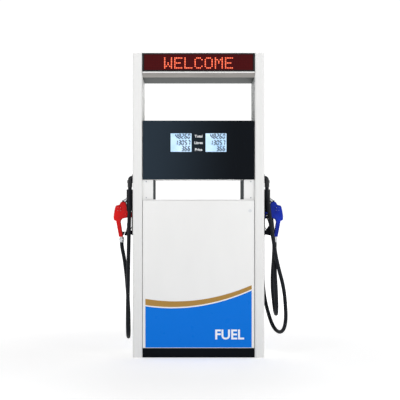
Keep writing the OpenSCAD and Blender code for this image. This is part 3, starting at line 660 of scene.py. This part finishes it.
for tag, side, mat in (("left", -1, red), ("right", 1, blue)):
    at = side_point(side)
    body = tag + "_nozzle"
    # casting: a slab that is full in the body and slimmer in the handle
    bm = bmesh.new()
    n = len(BODY)
    layers = []
    for y, shrink in ((-1, 1), (-0.62, 0), (0.62, 0), (1, 1)):
        ring = []
        for i, (x, z) in enumerate(BODY):
            ax, az = BODY[i - 1]
            bx, bz = BODY[(i + 1) % n]
            d = Vector((bx - ax, bz - az)).normalized()
            inward = Vector((d.y, -d.x))  # the outline runs clockwise
            half = 0.022 if z > 0.99 else 0.0165
            if z < 0.995 and z > 0.95:
                half = 0.0175
            q = Vector((x, z)) + inward * (0.0045 * shrink)
            ring.append(bm.verts.new(at(q.x, -0.060 + y * half, q.y)))
        layers.append(ring)
    for a, b in zip(layers, layers[1:]):
        for i in range(n):
            bm.faces.new((a[i], b[i], b[(i + 1) % n], a[(i + 1) % n]))
    bmesh.ops.triangle_fill(bm, edges=[e for e in bm.edges if e.is_boundary and e.verts[0] in layers[0]])
    bmesh.ops.triangle_fill(bm, edges=[e for e in bm.edges if e.is_boundary and e.verts[0] in layers[-1]])
    o = add(tag + "_nozzle_shell", bm, mat, body, smooth=38)
    bevel(o, 0.0022, 2, 35)
    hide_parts(tag + "_nozzle_body")
    # round valve bosses on both faces, with cap and screws
    bm = bmesh.new()
    for s in (-1, 1):
        c = at(0.581, -0.060, 1.072)
        lathe(bm, [(0.018, 0.018), (0.0178, 0.0236), (0.0165, 0.0255), (0.0125, 0.0258), (0.0115, 0.0244), (0.0, 0.0244)], c, (0, s, 0), 36)
        c = at(0.529, -0.060, 1.032)
        lathe(bm, [(0.011, 0.0195), (0.0108, 0.0232), (0.0095, 0.0242), (0, 0.0244)], c, (0, s, 0), 28)
    o = add(tag + "_nozzle_bosses", bm, mat, body, smooth=40)
    bm = bmesh.new()
    for s in (-1, 1):
        for k in range(4):
            a = math.pi / 4 + k * math.pi / 2
            c = at(0.581 + 0.0142 * math.cos(a), -0.060 + s * 0.0250, 1.072 + 0.0142 * math.sin(a))
            lathe(bm, [(0.0019, -0.001), (0.0019, 0.0007), (0.0014, 0.0010), (0, 0.0010)], c, (0, s, 0), 12)
        c = at(0.502, -0.060 + s * 0.0215, 1.024)
        lathe(bm, [(0.0048, -0.001), (0.0046, 0.0014), (0.003, 0.0022), (0, 0.0024)], c, (0, s, 0), 20)
    o = add(tag + "_nozzle_screws", bm, zinc, body, smooth=40)
    # grip ribs round the handle
    bm = bmesh.new()
    for k in range(9):
        z = 0.880 + k * 0.0095
        x0, x1 = 0.5530 + 0.1574 * (z - 0.868), 0.5830 + 0.1853 * (z - 0.868)
        cx, hw, hh = (x0 + x1) / 2, (x1 - x0) / 2 + 0.0007, 0.0165 + 0.0008
        loop, r = [], 0.006
        for a0, sx, sy in ((0, 1, 1), (90, -1, 1), (180, -1, -1), (270, 1, -1)):
            for j in range(4):
                a = math.radians(a0 + 30 * j)
                loop.append((cx + sx * (hw - r) + r * math.cos(a), sy * (hh - r) + r * math.sin(a)))
        rows = []
        for dz, g in ((-0.0018, -0.0012), (-0.0008, 0), (0.0008, 0), (0.0018, -0.0012)):
            rows.append([bm.verts.new(at(cx + (x - cx) * (1 + g / hw), -0.060 + y * (1 + g / hh), z + dz)) for x, y in loop])
        for a, b in zip(rows, rows[1:]):
            for i in range(len(loop)):
                bm.faces.new((a[i], b[i], b[(i + 1) % len(loop)], a[(i + 1) % len(loop)]))
        bm.faces.new(rows[0]); bm.faces.new(rows[-1][::-1])
    o = add(tag + "_grip_ribs", bm, mat, body, smooth=50)
    # splash collar where the spout leaves the casting
    d = Vector(at(-1, 0, 1)).normalized()
    c = Vector(at(0.5465, -0.060, 1.1215))
    bm = bmesh.new()
    lathe(bm, [(0.012, -0.004), (0.0175, -0.004), (0.0185, 0.0), (0.0180, 0.004), (0.0150, 0.006), (0.012, 0.006)], c, d, 36)
    o = add(tag + "_spout_collar", bm, plastic, body, smooth=40)
    # trigger: slim lever with a rolled end
    bm = bmesh.new()
    pts = [(0.502, 1.024), (0.507, 1.006), (0.5125, 0.990), (0.518, 0.974), (0.5215, 0.960), (0.5215, 0.945), (0.519, 0.932)]
    line = []
    vs = [Vector((side * x, -0.060, z)) for x, z in pts]
    for i in range(len(vs) - 1):
        line += [spline(vs, i, j / 5) for j in range(5)]
    line.append(vs[-1])
    m = len(line)
    sweep(bm, line, [0.0036 + 0.0006 * math.sin(math.pi * i / m) for i in range(m)], seg=20, squash=(1.0, 2.1))
    lathe(bm, [(0.0031, -0.008), (0.007, -0.008), (0.007, 0.008), (0.0031, 0.008), (0.0031, -0.008)], at(0.502, -0.060, 1.024), (0, 1, 0), 28)
    o = add(tag + "_lever", bm, plastic, tag + "_trigger_body", smooth=50)
    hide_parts(tag + "_trigger")
    # guard: a bent flat strip with rounded edges
    bm = bmesh.new()
    gp = [(0.488, 1.012), (0.4855, 0.985), (0.487, 0.950), (0.497, 0.924), (0.513, 0.909), (0.532, 0.904), (0.556, 0.904)]
    vs = [Vector((side * x, -0.060, z)) for x, z in gp]
    line = []
    for i in range(len(vs) - 1):
        line += [spline(vs, i, j / 6) for j in range(6)]
    line.append(vs[-1])
    sweep(bm, line, 0.0025, seg=16, squash=(1.0, 4.2))
    foot = [(0.5405, 0.9050), (0.5600, 0.9050), (0.5600, 0.8810), (0.5500, 0.8800), (0.5450, 0.8890)]
    n4 = len(foot)
    rows = []
    for y, k in ((-0.0115, 0.94), (-0.0095, 1.0), (0.0095, 1.0), (0.0115, 0.94)):
        rows.append([bm.verts.new(at(0.5510 + (x - 0.5510) * k, -0.060 + y, 0.893 + (z - 0.893) * k)) for x, z in foot])
    for a, b in zip(rows, rows[1:]):
        for i in range(n4):
            bm.faces.new((a[i], b[i], b[(i + 1) % n4], a[(i + 1) % n4]))
    bm.faces.new(rows[0])
    bm.faces.new(rows[-1][::-1])
    o = add(tag + "_guard", bm, plastic, body, smooth=60)
    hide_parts(tag + "_trigger_guard")
    # swivel: turned cups, a hexagon and a crimped ferrule over the hose end
    bm = bmesh.new()
    c = at(0.563, -0.060, 0.0)
    lathe(bm, [(0.0103, 0.8485), (0.0103, 0.8662), (0.0150, 0.8664), (0.0155, 0.8658), (0.0155, 0.8615), (0.0170, 0.8590), (0.0170, 0.8420), (0.0162, 0.8400), (0.0168, 0.8385),
               (0.0168, 0.8350), (0.0160, 0.8340), (0.0168, 0.8330), (0.0168, 0.8300), (0.0158, 0.8282), (0.0, 0.8282), ], c, (0, 0, 1), 40)
    hexa = [(0.0193 * math.cos(math.radians(60 * k)), 0.0193 * math.sin(math.radians(60 * k))) for k in range(6)]
    a = [bm.verts.new((c[0] + x, c[1] + y, 0.8435)) for x, y in hexa]
    b = [bm.verts.new((c[0] + x, c[1] + y, 0.8545)) for x, y in hexa]
    bm.faces.new(a[::-1]); bm.faces.new(b)
    for i in range(6):
        bm.faces.new((a[i], a[(i + 1) % 6], b[(i + 1) % 6], b[i]))
    o = add(tag + "_swivel_nut", bm, alloy, tag + "_swivel_body", smooth=35)
    bevel(o, 0.0006, 2, 40)
    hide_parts(tag + "_swivel")
    # boot trim: rubber lip round the hood and screws in the back plate
    bm = bmesh.new()
    rim = [(0.5225, -0.0965, 1.060), (0.5225, -0.0965, 1.2135), (0.5225, -0.0235, 1.2135), (0.5225, -0.0235, 1.060)]
    vs = [Vector(at(*q)) for q in rim]
    line = []
    for a_, b_ in zip(vs, vs[1:]):
        line += [a_.lerp(b_, j / 8) for j in range(8)]
    line.append(vs[-1])
    sweep(bm, line, 0.0026, seg=12)
    o = add(tag + "_boot_lip", bm, seal, "root", smooth=60)
    bm = bmesh.new()
    for y in (-0.088, -0.032):
        for z in (0.965, 1.03):
            lathe(bm, [(0.0045, 0), (0.0045, 0.0012), (0.003, 0.0024), (0, 0.0027)], at(0.478, y, z), at(1, 0, 0), 20)
    for y in (-0.152, -0.108):
        lathe(bm, [(0.0045, 0), (0.0045, 0.0012), (0.003, 0.0024), (0, 0.0027)], at(0.479, y, 1.273), at(1, 0, 0), 20)
        lathe(bm, [(0.0045, 0), (0.0045, 0.0012), (0.003, 0.0024), (0, 0.0027)], at(0.479, y, 1.321), at(1, 0, 0), 20)
    o = add(tag + "_side_screws", bm, zinc, "root", smooth=40)
    # crimp ferrule at the outlet end of the hose
    bm = bmesh.new()
    lathe(bm, [(0.0142, 1.2625), (0.0168, 1.2622), (0.0172, 1.2600), (0.0172, 1.2480), (0.0162, 1.2465), (0.0172, 1.2450), (0.0172, 1.2340), (0.0160, 1.2320), (0.0141, 1.2318)],
          at(0.4992, -0.130, 0), (0, 0, 1), 36)
    o = add(tag + "_hose_ferrule", bm, fitting, "root", smooth=40)

# painted shade: thin dark grey strips on the inner sides of the neck posts, where the posts are in shade
bm = bmesh.new()
for s in (-1, 1):
    for a, b, y0, y1 in ((0.3212, 0.3219, -0.1888, 0.1888), (0.3212, 0.3275, -0.1890, -0.1882), (0.3212, 0.3275, 0.1882, 0.1890)):
        x0, x1 = sorted((s * a, s * b))
        prism(bm, [(x0, 1.1425), (x1, 1.1425), (x1, 1.2840), (x0, 1.2840)], y0, y1)
o = add("neck_post_covers", bm, painted_shade_grey, "root")

# door seals: rubber strips round the back of the cabinet doors
for tag, where, body in (("front", front, "front_door_body"), ("rear", rear, "rear_door_body")):
    bm = bmesh.new()
    for x0, x1, z0, z1 in ((-0.396, 0.396, 0.0735, 0.0805), (-0.396, 0.396, 1.1245, 1.1315), (0.388, 0.396, 0.0805, 1.1245)):
        prism(bm, [(x0, z0), (x1, z0), (x1, z1), (x0, z1)], -0.1738, -0.1722, where)
    o = add(tag + "_door_seal", bm, seal, body)

# ------------------------------------------------------------------ stage
def plane(name, pts, mat):
    bm = bmesh.new()
    bm.faces.new([bm.verts.new(p) for p in pts])
    me = bpy.data.meshes.new(name)
    bm.to_mesh(me)
    bm.free()
    o = bpy.data.objects.new(name, me)
    scene.collection.objects.link(o)
    me.materials.append(mat.m)
    return o


floor = Mat("stage_floor", rgb(250, 250, 250), 0.9, spec=0.1)
floor.vary(0.7, rgb(247, 247, 247), rgb(252, 252, 252))
floor.p.inputs["Emission Color"].default_value = (1, 1, 1, 1)
_fx, _fy, _fz = floor.xyz()
_far = floor.math("SQRT", floor.math("ADD", floor.math("MULTIPLY", _fx, _fx), floor.math("MULTIPLY", _fy, _fy)))
floor.link(floor.span(_far, 0.9, 5.0, 0.47, 1.0, True), floor.p.inputs["Emission Strength"])
plane("stage_floor", [(-40, -30, -0.0005), (40, -30, -0.0005), (40, 60, -0.0005), (-40, 60, -0.0005)], floor)

world = bpy.data.worlds.new("studio")
scene.world = world
world.use_nodes = True
wt = world.node_tree
wt.nodes.clear()
wo = wt.nodes.new("ShaderNodeOutputWorld")
wb = wt.nodes.new("ShaderNodeBackground")
wc = wt.nodes.new("ShaderNodeTexCoord")
ws = wt.nodes.new("ShaderNodeSeparateXYZ")


def wmap(src, lo, hi, x, y):
    r = wt.nodes.new("ShaderNodeMapRange")
    r.interpolation_type = "SMOOTHSTEP"
    wt.links.new(src, r.inputs[0])
    for i, v in enumerate((lo, hi, x, y)):
        r.inputs[i + 1].default_value = v
    return r.outputs[0]


def wmix(f, a, b):
    m = wt.nodes.new("ShaderNodeMix")
    m.data_type = "RGBA"
    wt.links.new(f, m.inputs[0])
    for i, v in ((6, a), (7, b)):
        if isinstance(v, tuple):
            m.inputs[i].default_value = v
        else:
            wt.links.new(v, m.inputs[i])
    return m.outputs[2]


wt.links.new(wc.outputs["Generated"], ws.inputs[0])
AMB = 0.215
soft = (AMB, AMB, AMB * 1.01, 1)
back_wall = wmix(wmap(ws.outputs["Y"], 0.80, 0.95, 0, 1), soft, (1.06, 1.06, 1.06, 1))
# a white band all round the horizon, so that every side is seen against the same pale backdrop
height = wt.nodes.new("ShaderNodeMath")
height.operation = "ABSOLUTE"
wt.links.new(ws.outputs["Z"], height.inputs[0])
wt.links.new(wmix(wmap(height.outputs[0], 0.16, 0.34, 0, 1), (1.06, 1.06, 1.06, 1), back_wall), wb.inputs["Color"])
wb.inputs["Strength"].default_value = 1.0
wt.links.new(wb.outputs[0], wo.inputs[0])


def area(name, at, to, size, power, colour=(1, 1, 1)):
    l = bpy.data.lights.new(name, "AREA")
    l.shape, l.size, l.size_y, l.energy, l.color = "RECTANGLE", size[0], size[1], power, colour
    o = bpy.data.objects.new(name, l)
    o.location = at
    o.rotation_euler = (Vector(to) - Vector(at)).to_track_quat("-Z", "Y").to_euler()
    scene.collection.objects.link(o)


area("key", (-3.9, -5.4, 2.7), (0, 0, 1.05), (2.6, 2.6), 73)
area("fill", (4.4, -5.0, 2.3), (0, 0, 1.05), (2.6, 3.0), 81)
area("back", (0.5, 5.0, 3.2), (0, 0, 1.2), (3.0, 2.0), 70)
area("side", (6.0, -0.6, 1.8), (0, 0, 1.1), (2.0, 2.4), 26)

bpy.context.view_layer.update()
